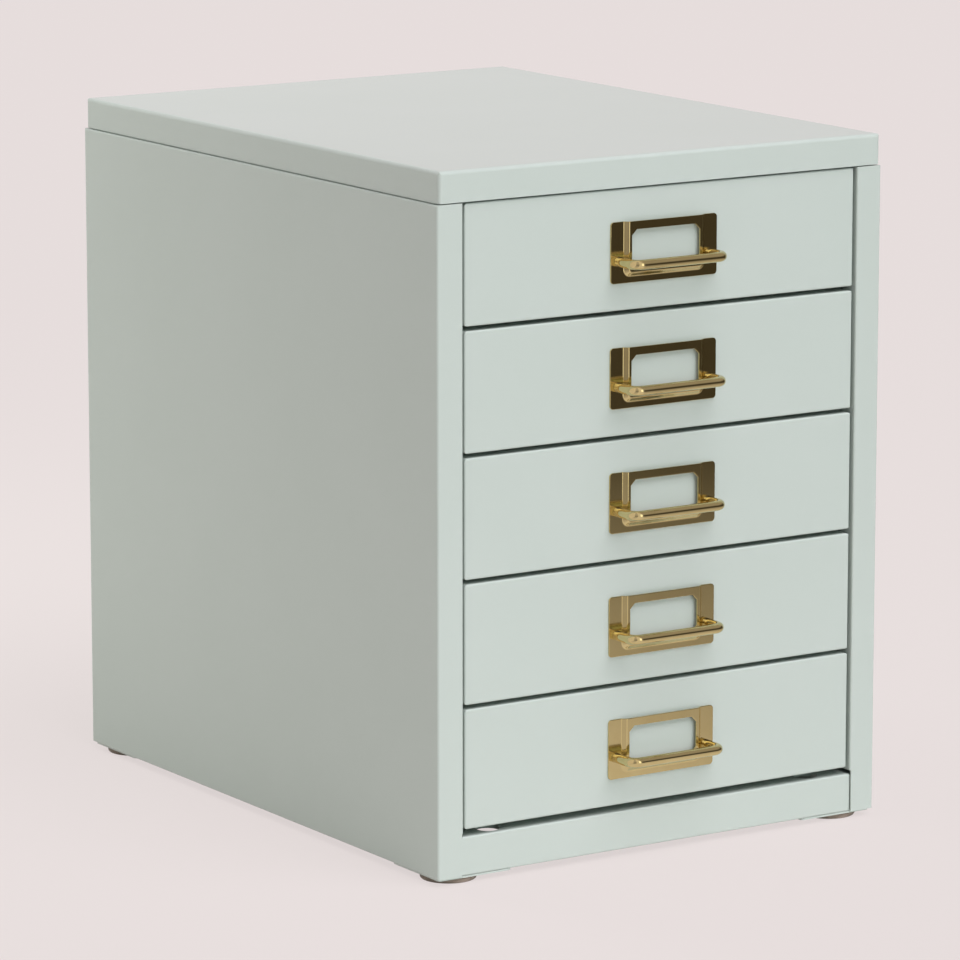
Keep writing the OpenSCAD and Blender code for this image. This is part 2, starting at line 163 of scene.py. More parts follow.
def noise(
    tree: bpy.types.NodeTree, place: bpy.types.NodeSocket, size_mm: float, detail: float, **inputs: float
) -> bpy.types.NodeSocket:
    """Add smooth noise whose features have a stated size.

    Args:
        tree: The node tree.
        place: The Object coordinates.
        size_mm: The size of the features.
        detail: How many finer layers lie over them.
        inputs: Values for the node's other inputs.

    Returns:
        The noise, from 0 to 1.
    """
    values = {"Vector": place, "Scale": 1 / (size_mm * MM), "Detail": detail, **inputs}
    return add(tree, "ShaderNodeTexNoise", values).outputs["Fac"]


def blend(
    tree: bpy.types.NodeTree, share: bpy.types.NodeSocket, first: str, second: str
) -> bpy.types.NodeSocket:
    """Mix two colours, which are inputs 6 and 7 of Blender's Mix node and come out at its output 2.

    Args:
        tree: The node tree.
        share: How much of the second colour the mix has.
        first: The hex colour at a share of 0.
        second: The hex colour at a share of 1.

    Returns:
        The mixed colour.
    """
    values = {"Factor": share, 6: linear(first), 7: linear(second)}
    return add(tree, "ShaderNodeMix", values, data_type="RGBA").outputs[2]


def spread(
    tree: bpy.types.NodeTree, value: bpy.types.NodeSocket, low: float, high: float
) -> bpy.types.NodeSocket:
    """Map a value that runs from 0 to 1 onto another range.

    Args:
        tree: The node tree.
        value: The value.
        low: The result at 0.
        high: The result at 1.

    Returns:
        The mapped value.
    """
    return add(tree, "ShaderNodeMapRange", {"Value": value, "To Min": low, "To Max": high}).outputs[0]


def bump(
    tree: bpy.types.NodeTree, height: bpy.types.NodeSocket, depth_mm: float, **inputs: Any
) -> bpy.types.NodeSocket:
    """Let a pattern raise and sink the surface in its shading.

    Args:
        tree: The node tree.
        height: The pattern, from 0 to 1.
        depth_mm: The depth of the relief.
        inputs: Values for the node's other inputs.

    Returns:
        The normal of the rough surface.
    """
    values = {"Strength": 1.0, "Distance": depth_mm * MM, "Height": height, **inputs}
    return add(tree, "ShaderNodeBump", values).outputs[0]


def end_in_principled(tree: bpy.types.NodeTree, inputs: dict[str, Any]) -> None:
    """End a material in a Principled surface.

    Args:
        tree: The material's node tree.
        inputs: The surface's values and sockets by input name.
    """
    shader = add(tree, "ShaderNodeBsdfPrincipled", inputs)
    add(tree, "ShaderNodeOutputMaterial", {"Surface": shader.outputs[0]})


def new_material(name: str) -> tuple[bpy.types.Material, bpy.types.NodeTree, bpy.types.NodeSocket]:
    """Start a node material.

    Args:
        name: The material's name.

    Returns:
        The material, its empty node tree, and the Object coordinates in metres.
    """
    material = bpy.data.materials.new(name)
    material.use_nodes = True
    tree = material.node_tree
    tree.nodes.clear()
    return material, tree, add(tree, "ShaderNodeTexCoord").outputs["Object"]


# ---------------------------------------------------------------- finishes


@dataclass(frozen=True)
class PowderCoat:
    """Satin polyester powder coat on folded steel, with an even colour, a soft gloss and a faint peel."""

    name: str = "satin_powder_coat"
    colour: str = "#C3CDC7"
    thin_colour: str = "#BFCAC3"
    roughness: float = 0.27
    gloss_change: float = 0.005
    ior: float = 1.5
    cloud_mm: float = 70.0
    peel_mm: float = 1.4
    peel_depth_mm: float = 0.008
    wave_mm: float = 85.0
    wave_depth_mm: float = 0.10

    def build(self) -> bpy.types.Material:
        """Build the coat: clouds of film thickness in its colour, and orange peel over gentle sheet waves.

        Returns:
            The material.
        """
        material, tree, place = new_material(self.name)
        clouds = noise(tree, place, self.cloud_mm, detail=3.0)
        peel = noise(tree, place, self.peel_mm, detail=1.0)
        sheet = bump(tree, noise(tree, place, self.wave_mm, detail=0.0), self.wave_depth_mm)
        low, high = self.roughness - self.gloss_change, self.roughness + self.gloss_change
        end_in_principled(tree, {
            "Base Color": blend(tree, clouds, self.colour, self.thin_colour),
            "Roughness": spread(tree, peel, low, high),
            "IOR": self.ior,
            "Normal": bump(tree, peel, self.peel_depth_mm, Normal=sheet),
        })
        return material


class Grain(Enum):
    """How a brass surface was worked last."""

    BUFFED = "buffed"
    BRUSHED = "brushed"


@dataclass(frozen=True)
class PolishedBrass:
    """Lacquered polished brass, which mirrors the room in pale yellow with faint polishing lines."""

    name: str
    grain: Grain
    colour: str = "#D9C995"
    toned_colour: str = "#CDBB83"
    toning_mm: float = 11.0
    roughness: float = 0.07
    shinier: float = 0.03
    duller: float = 0.08
    line_mm: float = 0.5
    line_length_mm: float = 14.0
    line_depth_mm: float = 0.002

    def build(self) -> bpy.types.Material:
        """Build the brass: upright polishing lines on plate, an even fine buff on wire.

        Returns:
            The material.
        """
        material, tree, place = new_material(self.name)
        brushed = self.grain is Grain.BRUSHED
        across = 1 / (self.line_mm * MM)
        along = 1 / (self.line_length_mm * MM) if brushed else across
        stretch = add(tree, "ShaderNodeMapping", {"Vector": place, "Scale": (across, across, along)})
        strokes = add(tree, "ShaderNodeTexNoise", {"Vector": stretch.outputs[0], "Scale": 1.0, "Detail": 2.0})
        lines, toning = strokes.outputs["Fac"], noise(tree, place, self.toning_mm, detail=2.0)
        end_in_principled(tree, {
            "Base Color": blend(tree, toning, self.colour, self.toned_colour),
            "Metallic": 1.0,
            "Roughness": spread(tree, lines, self.roughness - self.shinier, self.roughness + self.duller),
            "Normal": bump(tree, lines, self.line_depth_mm),
        })
        return material


@dataclass(frozen=True)
class ZincPlate:
    """Bright zinc plating on small steel hardware, which looks pale, slightly blue and finely matte."""

    name: str = "bright_zinc_plate"
    colour: str = "#C9CCCF"
    spangle_colour: str = "#B4B9BE"
    roughness: float = 0.34
    gloss_change: float = 0.08
    spangle_mm: float = 0.9

    def build(self) -> bpy.types.Material:
        """Build the plating: small crystals that differ a little in tone and gloss.

        Returns:
            The material.
        """
        material, tree, place = new_material(self.name)
        spangle = noise(tree, place, self.spangle_mm, detail=3.0)
        low, high = self.roughness - self.gloss_change, self.roughness + self.gloss_change
        end_in_principled(tree, {
            "Base Color": blend(tree, spangle, self.colour, self.spangle_colour),
            "Metallic": 1.0,
            "Roughness": spread(tree, spangle, low, high),
        })
        return material


@dataclass(frozen=True)
class WoolFelt:
    """Pressed wool felt, which is dull, mottled and fuzzy with short crossing fibres."""

    name: str = "pressed_wool_felt"
    colour: str = "#A8998C"
    deep_colour: str = "#7B6A5E"
    fibre_mm: float = 0.7
    fibre_depth_mm: float = 0.25
    clump_mm: float = 5.0
    pale_share: float = 0.25
    roughness: float = 0.95
    sheen: float = 0.35
    sheen_roughness: float = 0.5

    def build(self) -> bpy.types.Material:
        """Build the felt: two brown wools mixed by fibre-sized noise that also roughens the surface.

        Returns:
            The material.
        """
        material, tree, place = new_material(self.name)
        fibres = noise(tree, place, self.fibre_mm, detail=5.0, Roughness=0.7, Distortion=1.2)
        clumps = noise(tree, place, self.clump_mm, detail=2.0)
        mottle = calculate(tree, "MULTIPLY_ADD", fibres, clumps, self.pale_share)
        end_in_principled(tree, {
            "Base Color": blend(tree, mottle, self.deep_colour, self.colour),
            "Roughness": self.roughness,
            "Normal": bump(tree, fibres, self.fibre_depth_mm, Strength=0.8),
            "Sheen Weight": self.sheen,
            "Sheen Roughness": self.sheen_roughness,
        })
        return material


# ---------------------------------------------------------------- surfaces


def make_object(
    name: str, points: np.ndarray, faces: Sequence[Sequence[int]], material: bpy.types.Material
) -> bpy.types.Object:
    """Make a smooth-shaded mesh object at the origin.

    Args:
        name: The object's name.
        points: One row of x, y and z for each vertex, in metres.
        faces: The vertex numbers of each face.
        material: Its finish.

    Returns:
        The object, linked to the scene.
    """
    mesh = bpy.data.meshes.new(name)
    mesh.from_pydata(points.reshape(-1, 3).tolist(), [], [list(map(int, face)) for face in faces])
    mesh.materials.append(material)
    mesh.shade_smooth()
    mesh.update()
    made = bpy.data.objects.new(name, mesh)
    bpy.context.scene.collection.objects.link(made)
    return made


def grid_faces(rows: int, columns: int, closed: bool) -> np.ndarray:
    """Number the quads of a grid of vertices that is stored row by row.

    Args:
        rows: Vertices along the first parameter.
        columns: Vertices along the second parameter.
        closed: Whether the last column joins the first one.

    Returns:
        One row of four vertex numbers for each quad.
    """
    last = columns if closed else columns - 1
    row, column = np.meshgrid(np.arange(rows - 1), np.arange(last), indexing="ij")
    after = (column + 1) % columns
    here, above = row * columns, (row + 1) * columns
    return np.stack((here + column, here + after, above + after, above + column), axis=-1).reshape(-1, 4)


def turned_surface(
    name: str, profile: np.ndarray, centre: Vector, sides: int, material: bpy.types.Material
) -> bpy.types.Object:
    """Turn a profile about an upright axis, with its first and last points on the axis.

    A profile point (r, z) at the angle a lies at (r cos a, r sin a, z) from the centre.

    Args:
        name: The object's name.
        profile: Rows of radius and height, from the underside round to the top.
        centre: The centre of the underside.
        sides: Points round the axis.
        material: Its finish.

    Returns:
        The closed surface.
    """
    angle = np.linspace(0, 2 * math.pi, sides, endpoint=False)
    radius, height = profile[1:-1, 0][:, None], profile[1:-1, 1][:, None]
    ring = np.stack(np.broadcast_arrays(radius * np.cos(angle), radius * np.sin(angle), height), axis=-1)
    poles = np.array([[0, 0, profile[0, 1]], [0, 0, profile[-1, 1]]])
    points = np.concatenate([ring.reshape(-1, 3), poles]) + np.array(centre)
    rows, step = len(profile) - 2, np.arange(sides)
    after = (step + 1) % sides
    low_pole, last_row = rows * sides, (rows - 1) * sides
    under = np.stack([np.full(sides, low_pole), after, step], axis=-1)
    over = np.stack([np.full(sides, low_pole + 1), last_row + step, last_row + after], axis=-1)
    return make_object(name, points, [*grid_faces(rows, sides, True), *under, *over], material)


def swept_wire(
    name: str, path: np.ndarray, radius: np.ndarray, sides: int, material: bpy.types.Material
) -> bpy.types.Object:
    """Sweep a circle along a path that bends in one plane, and close both ends.

    Each ring lies across the path's direction at its point, spanned by the plane's normal and the path's
    own sideways direction, so that the wire never twists.

    Args:
        name: The object's name.
        path: The middle of the wire, one row for each ring.
        radius: The wire's radius at each ring.
        sides: Points round the wire.
        material: Its finish.

    Returns:
        The closed wire.
    """
    along = np.gradient(path, axis=0)
    along /= np.linalg.norm(along, axis=1, keepdims=True)
    normal = np.cross(path[-1] - path[0], path[len(path) // 2] - path[0])
    normal /= np.linalg.norm(normal)
    sideways = np.cross(along, normal)
    sideways /= np.linalg.norm(sideways, axis=1, keepdims=True)
    upright = np.cross(sideways, along)
    angle = np.linspace(0, 2 * math.pi, sides, endpoint=False)[None, :, None]
    outwards = np.cos(angle) * sideways[:, None] + np.sin(angle) * upright[:, None]
    ring = path[:, None] + radius[:, None, None] * outwards
    ends = [np.arange(sides), (len(path) - 1) * sides + np.arange(sides)[::-1]]
    return make_object(name, ring, [*grid_faces(len(path), sides, True)[:, ::-1], *ends], material)


# ---------------------------------------------------------------- pieces


@dataclass
class WirePull:
    """One fixed wire pull, bent from a single brass wire, with thinner shanks through the drawer front."""

    drawer: int
    material: bpy.types.Material
    wire_r: float = 2.65 * MM
    bend_r: float = 5.0 * MM
    shank_r: float = 1.5 * MM
    root_gap: float = 0.4 * MM
    bend_rings: int = 14
    sides: int = 40

    def build(self) -> bpy.types.Object:
        """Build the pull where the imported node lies.

        Half of its flat path is the shank, the straight arm and the quarter circle of the bend; the other
        half is its mirror image.

        Returns:
            The pull.
        """
        node = f"drawer_{self.drawer}_pull"
        low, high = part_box(node)
        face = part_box(f"drawer_{self.drawer}_label_holder")[1].y - LabelHolder.sheet
        half = (high.x - low.x) / 2 - self.wire_r
        middle, level = (high.x + low.x) / 2, low.z + self.wire_r
        arm_end = low.y + self.wire_r + self.bend_r
        turn = np.linspace(0, math.pi / 2, self.bend_rings)
        inwards, outwards = self.bend_r * (1 - np.cos(turn)), self.bend_r * np.sin(turn)
        bend = np.stack([half - inwards, arm_end - outwards], axis=-1)
        arm = [[half, high.y], [half, face + self.root_gap], [half, face], [half, (face + arm_end) / 2]]
        side = np.concatenate([arm, bend])
        flat = np.concatenate([side, (side * [-1, 1])[::-1]])
        path = np.stack([middle + flat[:, 0], flat[:, 1], np.full(len(flat), level)], axis=-1)
        radius = np.full(len(path), self.wire_r)
        radius[[0, 1, -2, -1]] = self.shank_r
        made = swept_wire(f"{node}_wire", path, radius, self.sides, self.material)
        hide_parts(node)
        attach(made, f"drawer_{self.drawer}")
        return made


@dataclass
class LabelHolder:
    """One stamped label holder: a flat plate whose raised pocket has a window and is open at the top."""

    drawer: int
    material: bpy.types.Material
    sheet: float = 0.8 * MM
    corner_r: float = 2.0 * MM
    pocket_half: float = 25.7 * MM
    pocket_foot: float = 3.0 * MM
    pocket_corner: float = 4.2 * MM
    slope: float = 2.9 * MM
    window_half: float = 21.4 * MM
    window_height: float = 19.3 * MM
    window_top: float = 4.3 * MM
    window_cut: float = 3.0 * MM
    bow: float = 0.05 * MM
    softness: float = 0.22
    edge_r: float = 0.12 * MM
    edge_angle_deg: float = 50.0
    corner_cells: int = 6
    slope_cells: int = 14
    window_cells: int = 8
    strip_cells: int = 3
    margin_cells: int = 4

    def lines(self, stops: Sequence[tuple[float, int]]) -> np.ndarray:
        """Place grid lines between stops.

        Args:
            stops: Pairs of a place and the number of cells up to it; the first count is unused.

        Returns:
            The places of all lines, in order.
        """
        spans = [
            np.linspace(start, end, cells, endpoint=False)
            for (start, _), (end, cells) in zip(stops[:-1], stops[1:])
        ]
        return np.concatenate([*spans, [stops[-1][0]]])

    def rise(self, x: np.ndarray, z: np.ndarray, height: float) -> np.ndarray:
        """Work out how far the pocket stands out of the plate.

        The distance inwards from the pocket's foot, a rectangle with rounded lower corners and no upper
        edge, is run through a ramp with softened ends. A slight bow lowers the pocket towards its sides.

        Args:
            x: Distance from the plate's middle.
            z: Height above the plate's lower edge.
            height: Full rise of the pocket.

        Returns:
            The rise at each point.
        """
        aside = np.abs(x) - (self.pocket_half - self.pocket_corner)
        below = (self.pocket_foot + self.pocket_corner) - z
        corner = np.hypot(np.maximum(aside, 0), np.maximum(below, 0))
        inwards = self.pocket_corner - corner - np.minimum(np.maximum(aside, below), 0)
        run, soft = np.clip(inwards / self.slope, 0, 1), self.softness
        straight = (run - soft / 2) / (1 - soft)
        start = run**2 / (2 * soft * (1 - soft))
        finish = 1 - (1 - run) ** 2 / (2 * soft * (1 - soft))
        ramp = np.where(run < soft, start, np.where(run > 1 - soft, finish, straight))
        return ramp * (height - self.bow * (x / self.pocket_half) ** 2)

    def build(self) -> bpy.types.Object:
        """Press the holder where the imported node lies.

        The grid's corner squares are bent onto the plate's round corners: with a and b from 0 to 1 across
        the square, a point goes to (a sqrt(1 - b b / 2), b sqrt(1 - a a / 2)) times the corner's radius.

        Returns:
            The holder.
        """
        node = f"drawer_{self.drawer}_label_holder"
        low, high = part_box(node)
        half, top = (high.x - low.x) / 2, high.z - low.z
        face = high.y - self.sheet
        n, flat = self.corner_cells, self.pocket_half - self.slope
        cut, win = self.window_cut, self.window_half
        right = [
            (0.0, 0), (win - cut, self.window_cells), (win, n), (flat, self.strip_cells),
            (self.pocket_half, self.slope_cells), (half - self.corner_r, self.margin_cells), (half, n),
        ]
        left = self.lines(right)[::-1] * -1
        x_lines = np.concatenate([left, self.lines(right)[1:]])
        win_high = top - self.window_top
        win_low = win_high - self.window_height
        z_lines = self.lines([
            (0.0, 0), (self.corner_r, n), (self.pocket_foot, self.strip_cells),
            (self.pocket_foot + self.slope, self.slope_cells), (win_low, self.margin_cells),
            (win_low + cut, n), (win_high - cut, self.window_cells), (win_high, n),
            (top - self.corner_r, self.margin_cells), (top, n),
        ])
        x, z = np.meshgrid(x_lines, z_lines, indexing="ij")
        rise = self.rise(x, z, face - low.y)
        a = np.clip((np.abs(x) - (half - self.corner_r)) / self.corner_r, 0, 1)
        b_low = np.clip((self.corner_r - z) / self.corner_r, 0, 1)
        b_high = np.clip((z - (top - self.corner_r)) / self.corner_r, 0, 1)
        b = np.maximum(b_low, b_high)
        round_a, round_b = a * np.sqrt(1 - b**2 / 2), b * np.sqrt(1 - a**2 / 2)
        corner = (a > 0) & (b > 0)
        x = np.where(corner, np.sign(x) * (half - self.corner_r + round_a * self.corner_r), x)
        z_round = np.where(
            b_low > 0, self.corner_r * (1 - round_b), top - self.corner_r + round_b * self.corner_r
        )
        z = np.where(corner, z_round, z)
        middle = (low.x + high.x) / 2
        points = np.stack([middle + x, face - rise, low.z + z], axis=-1)
        faces = self.cells(x_lines, z_lines, win_low, win_high)
        made = make_object(f"{node}_plate", points, faces, self.material)
        self.finish(made)
        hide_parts(node)
        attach(made, f"drawer_{self.drawer}")
        return made

    def corners(self, i: np.ndarray | int, j: np.ndarray | int, rows: int) -> np.ndarray:
        """Number the four vertices of grid cells.

        Args:
            i: Each cell's place among the upright lines.
            j: Each cell's place among the level lines.
            rows: The number of level lines.

        Returns:
            Four vertex numbers for each cell, counted round from its lower left corner.
        """
        first, second = i * rows + j, (i + 1) * rows + j
        return np.stack([first, second, second + 1, first + 1], axis=-1)

    def cells(
        self, x_lines: np.ndarray, z_lines: np.ndarray, win_low: float, win_high: float
    ) -> list[list[int]]:
        """List the faces round the window, with triangles along its cut corners.

        In a corner square of n by n cells, counted from the window's corner, the cells with a + b + 1 < n
        stay, those with a + b + 1 = n become triangles, and the rest are cut away.

        Args:
            x_lines: Places of the upright grid lines.
            z_lines: Places of the level grid lines.
            win_low: Height of the window's lower edge.
            win_high: Height of the window's upper edge.

        Returns:
            The faces as vertex numbers.
        """
        rows = len(z_lines)
        x_mid, z_mid = (x_lines[1:] + x_lines[:-1]) / 2, (z_lines[1:] + z_lines[:-1]) / 2
        step = self.window_cut / self.corner_cells
        from_side = np.floor((self.window_half - np.abs(x_mid)) / step)[:, None]
        from_edge = np.floor(np.minimum(z_mid - win_low, win_high - z_mid) / step)[None, :]
        inside = (from_side >= 0) & (from_edge >= 0)
        count = from_side + from_edge + 1
        i, j = np.nonzero(~inside | (count < self.corner_cells))
        faces = self.corners(i, j, rows).tolist()
        cut_away = {(True, True): 2, (False, True): 3, (True, False): 1, (False, False): 0}
        for column, row in zip(*np.nonzero(inside & (count == self.corner_cells))):
            place = bool(x_mid[column] < 0), bool(z_mid[row] < (win_low + win_high) / 2)
            faces.append(np.delete(self.corners(column, row, rows), cut_away[place]).tolist())
        return faces

    def finish(self, made: bpy.types.Object) -> None:
        """Give the pressed sheet its thickness and softened edges.

        Args:
            made: The front surface of the plate.
        """
        wall = made.modifiers.new("thickness", "SOLIDIFY")
        wall.thickness, wall.offset, wall.use_even_offset = self.sheet, -1.0, True
        edge = made.modifiers.new("edge", "BEVEL")
        edge.width, edge.segments = self.edge_r, 2
        edge.limit_method, edge.angle_limit = "ANGLE", math.radians(self.edge_angle_deg)
        made.modifiers.new("normals", "WEIGHTED_NORMAL").keep_sharp = True


@dataclass
class FeltFoot:
    """One felt disc under a corner, slightly squashed, with a soft furry rim."""

    side: str
    end: str
    material: bpy.types.Material
    rim_r: float = 0.9 * MM
    fuzz: float = 0.12 * MM
    sides: int = 96
    rim_rings: int = 13
    flat_rings: int = 8
    waves: tuple[tuple[int, float, float], ...] = ((23, 2.0, 0.0), (37, 0.0, 1.3), (11, -3.0, 0.0))
    rim_power: int = 8

    def build(self) -> bpy.types.Object:
        """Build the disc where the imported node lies.

        Its profile runs out along the underside, round the rim on half an ellipse, and back in on top.

        Returns:
            The disc.
        """
        node = f"felt_foot_{self.end}_{self.side}"
        low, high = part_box(node)
        radius, height = (high.x - low.x) / 2, high.z - low.z
        turn = np.linspace(-math.pi / 2, math.pi / 2, self.rim_rings)
        inner = np.linspace(0, radius - self.rim_r, self.flat_rings)[:-1]
        wall = np.stack([
            radius - self.rim_r + self.rim_r * np.cos(turn),
            height / 2 + (height / 2) * np.sin(turn),
        ], axis=-1)
        under = np.stack([inner, np.zeros_like(inner)], axis=-1)
        over = np.stack([inner[::-1], np.full_like(inner, height)], axis=-1)
        profile = np.concatenate([under, wall, over])
        centre = Vector(((low.x + high.x) / 2, (low.y + high.y) / 2, low.z))
        made = turned_surface(f"{node}_disc", profile, centre, self.sides, self.material)
        self.roughen(made, centre, radius)
        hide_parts(node)
        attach(made, "cabinet")
        return made

    def roughen(self, made: bpy.types.Object, centre: Vector, radius: float) -> None:
        """Pull the rim in unevenly, as cut felt is, by a sum of waves round the disc.

        Each wave is sin(n a + k h + s), with the angle a round the disc, the height h in mm, and the wave's
        own count n, lean k and start s. The pull grows with a high power of the distance from the middle.

        Args:
            made: The disc.
            centre: The centre of its underside.
            radius: Its radius.
        """
        points = np.empty(len(made.data.vertices) * 3, np.float32)
        made.data.vertices.foreach_get("co", points)
        points = points.reshape(-1, 3)
        around = points[:, :2] - np.array(centre)[:2]
        distance = np.linalg.norm(around, axis=1)
        angle = np.arctan2(around[:, 1], around[:, 0])
        level = points[:, 2] / MM
        wave = sum(np.sin(count * angle + lean * level + start) for count, lean, start in self.waves)
        most = len(self.waves)
        pull = self.fuzz * (wave - most) / (2 * most) * (distance / radius) ** self.rim_power
        safe = np.maximum(distance, 1e-9)[:, None]
        points[:, :2] += around / safe * pull[:, None]
        made.data.vertices.foreach_set("co", points.ravel())
        made.data.update()


@dataclass
class SteelWork:
    """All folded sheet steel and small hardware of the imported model, which keeps its own shape."""

    frame: dict[str, Any]
    coat: bpy.types.Material
    zinc: bpy.types.Material
    zinc_nodes: tuple[str, ...] = ("lid_screws", "foot_screws", "pull_caps")
    dressed: list[str] = field(default_factory=list)

    def build(self) -> list[str]:
        """Give each steel node its finish.

        Returns:
            The names of the nodes that got one.
        """
        for name, node in self.frame["nodes"].items():
            finish = self.zinc if name.endswith(self.zinc_nodes) else self.coat
            node.data.materials.clear()
            node.data.materials.append(finish)
            self.dressed.append(name)
        return self.dressed


# ---------------------------------------------------------------- studio


def level_direction(azimuth_deg: float) -> tuple[float, float, float]:
    """Work out the level unit vector at an angle round the set, from the front towards the right."""
    turn = math.radians(azimuth_deg)
    return math.sin(turn), -math.cos(turn), 0.0


@dataclass(frozen=True)
class Sector:
    """A part of the room round the set: its direction, its widths in degrees and how dark it is."""

    azimuth_deg: float
    full_deg: float
    end_deg: float
    depth: float


@dataclass
class MirrorCards:
    """Dark and bright cards round the set, which only glossy surfaces mirror: painted reflections of a
    product studio's cards, which light and shade nothing.

    A dark cloth, a painted dark reflection, starts at the object's own floor and runs outwards and up over
    the set. It is dense in two sectors, one of them towards the camera, clear in the others, and thinner
    overhead. A bright card stands in the clear gap.
    """

    # Colour of the painted dark reflection.
    cloth_colour: str = "#48423A"
    # The second sector lies towards the camera and paints a darker reflection on that side.
    sectors: tuple[Sector, ...] = (Sector(60.0, 29.0, 56.0, 1.0), Sector(-33.0, 7.0, 15.0, 0.62))
    floor_from: float = 0.20
    floor_to: float = 1.30
    floor_curve: float = 0.7
    cloth_lift: float = 1.0 * MM
    dome_r: float = 3.0
    overhead_from: float = 0.6
    overhead_to: float = 1.4
    overhead_depth: float = 0.52
    floor_rings: int = 8
    dome_rings: int = 12
    sides: int = 64
    # The card's colour and glow paint a bright reflection on glossy surfaces.
    card_colour: str = "#FFFDF8"
    card_azimuth_deg: float = 5.0
    card_distance: float = 1.2
    card_width: float = 0.30
    card_height: float = 0.9
    card_strength: float = 1.8

    def build(self) -> None:
        """Hang the cloth and stand the card."""
        for card in (self.cloth(), self.card()):
            # Hidden from the camera, from diffuse light and from shadows, so both only paint reflections on
            # glossy surfaces.
            card.visible_camera = card.visible_diffuse = False
            card.visible_shadow = card.visible_transmission = False
            card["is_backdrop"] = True

    def density(self, tree: bpy.types.NodeTree, place: bpy.types.NodeSocket) -> bpy.types.NodeSocket:
        """Work out how dense the cloth's painted dark reflection is: by sector, by distance along the floor,
        and by height.

        Args:
            tree: The cloth's node tree.
            place: The Object coordinates.

        Returns:
            The density from 0, clear, to 1.
        """
        level = add(tree, "ShaderNodeVectorMath", {0: place, 1: (1.0, 1.0, 0.0)}, operation="MULTIPLY")
        outwards = add(tree, "ShaderNodeVectorMath", {0: level.outputs[0]}, operation="NORMALIZE")
        total = None
        for sector in self.sectors:
            facing = add(
                tree, "ShaderNodeVectorMath",
                {0: outwards.outputs[0], 1: level_direction(sector.azimuth_deg)},
                operation="DOT_PRODUCT",
            )
            share = add(
                tree, "ShaderNodeMapRange",
                {
                    "Value": facing.outputs["Value"], "To Max": sector.depth,
                    "From Min": math.cos(math.radians(sector.end_deg)),
                    "From Max": math.cos(math.radians(sector.full_deg)),
                },
                interpolation_type="SMOOTHSTEP",
            )
            shade = share.outputs[0]
            total = shade if total is None else calculate(tree, "MAXIMUM", total, shade)
        length = add(tree, "ShaderNodeVectorMath", {0: level.outputs[0]}, operation="LENGTH")
        ramp = add(
            tree, "ShaderNodeMapRange",
            {"Value": length.outputs["Value"], "From Min": self.floor_from, "From Max": self.floor_to},
        )
        floor = calculate(tree, "POWER", ramp.outputs[0], self.floor_curve)
        height = add(tree, "ShaderNodeSeparateXYZ", {0: place})
        overhead = add(
            tree, "ShaderNodeMapRange",
            {
                "Value": height.outputs["Z"], "From Min": self.overhead_from, "From Max": self.overhead_to,
                "To Min": 1.0, "To Max": self.overhead_depth,
            },
        )
        along = calculate(tree, "MULTIPLY", floor, overhead.outputs[0])
        return calculate(tree, "MULTIPLY", along, total)

    def cloth(self) -> bpy.types.Object:
        """Lay the dark cloth, a painted dark reflection: rings along the floor, then a quarter circle up to
        the point overhead.

        Returns:
            The cloth.
        """
        turn = np.linspace(0, math.pi / 2, self.dome_rings, endpoint=False)
        level = np.linspace(self.floor_from, self.dome_r, self.floor_rings)[:-1]
        radius = np.concatenate([level, self.dome_r * np.cos(turn)])
        height = np.concatenate([np.zeros_like(level), self.dome_r * np.sin(turn)]) + self.cloth_lift
        angle = np.linspace(0, 2 * math.pi, self.sides, endpoint=False)
        ring = np.broadcast_arrays(
            radius[:, None] * np.cos(angle), radius[:, None] * np.sin(angle), height[:, None]
        )
        material, tree, place = new_material("studio_painted_dark_reflection")
        # Painted dark reflection: only glossy rays see this faint dark glow where the cloth is dense.
        dark = add(tree, "ShaderNodeEmission", {"Color": linear(self.cloth_colour), "Strength": 1.0})
        clear = add(tree, "ShaderNodeBsdfTransparent")
        mix = add(
            tree, "ShaderNodeMixShader",
            {0: self.density(tree, place), 1: clear.outputs[0], 2: dark.outputs[0]},
        )
        add(tree, "ShaderNodeOutputMaterial", {"Surface": mix.outputs[0]})
        faces = grid_faces(len(radius), self.sides, True)
        return make_object("studio_painted_dark_reflection", np.stack(ring, axis=-1), faces, material)

    def card(self) -> bpy.types.Object:
        """Stand the bright card, a painted bright reflection, on the floor, square to the line from the
        object.

        Returns:
            The card.
        """
        out = np.array(level_direction(self.card_azimuth_deg))
        aside = np.array([-out[1], out[0], 0.0]) * self.card_width / 2
        foot, up = out * self.card_distance, np.array([0, 0, self.card_height])
        points = np.array([foot - aside, foot + aside, foot + aside + up, foot - aside + up])
        material, tree, _ = new_material("studio_painted_bright_reflection")
        # Painted highlight: the card glows, only glossy surfaces see it, and it lights nothing.
        glow = add(
            tree, "ShaderNodeEmission",
            {"Color": linear(self.card_colour), "Strength": self.card_strength},
        )
        add(tree, "ShaderNodeOutputMaterial", {"Surface": glow.outputs[0]})
        return make_object("studio_painted_bright_reflection", points, [(0, 1, 2, 3)], material)


@dataclass(frozen=True)
class SoftSun:
    """A wide soft lamp, so far away that it lights every piece alike."""

    name: str
    towards: tuple[float, float, float]
    strength: float
    angle_deg: float
    colour: str

    def falling(self, normal: tuple[float, float, float]) -> np.ndarray:
        """Work out the light that an open diffuse surface gets, as the radiance of white paper.

        Args:
            normal: The direction that the surface faces.

        Returns:
            The linear red, green and blue.
        """
        aim = np.array(self.towards) / np.linalg.norm(self.towards)
        share = max(float(aim @ np.array(normal)), 0.0)
        return np.array(linear(self.colour)[:3]) * self.strength * share / math.pi

    def build(self) -> None:
        """Hang the lamp. Shiny metal mirrors the cards and the room, and not the lamp."""
        light = bpy.data.lights.new(self.name, "SUN")
        light.energy, light.angle = self.strength, math.radians(self.angle_deg)
        light.color = linear(self.colour)[:3]
        lamp = bpy.data.objects.new(self.name, light)
        lamp.rotation_euler = Vector(self.towards).to_track_quat("Z", "Y").to_euler()
        lamp.visible_glossy = False
        bpy.context.scene.collection.objects.link(lamp)


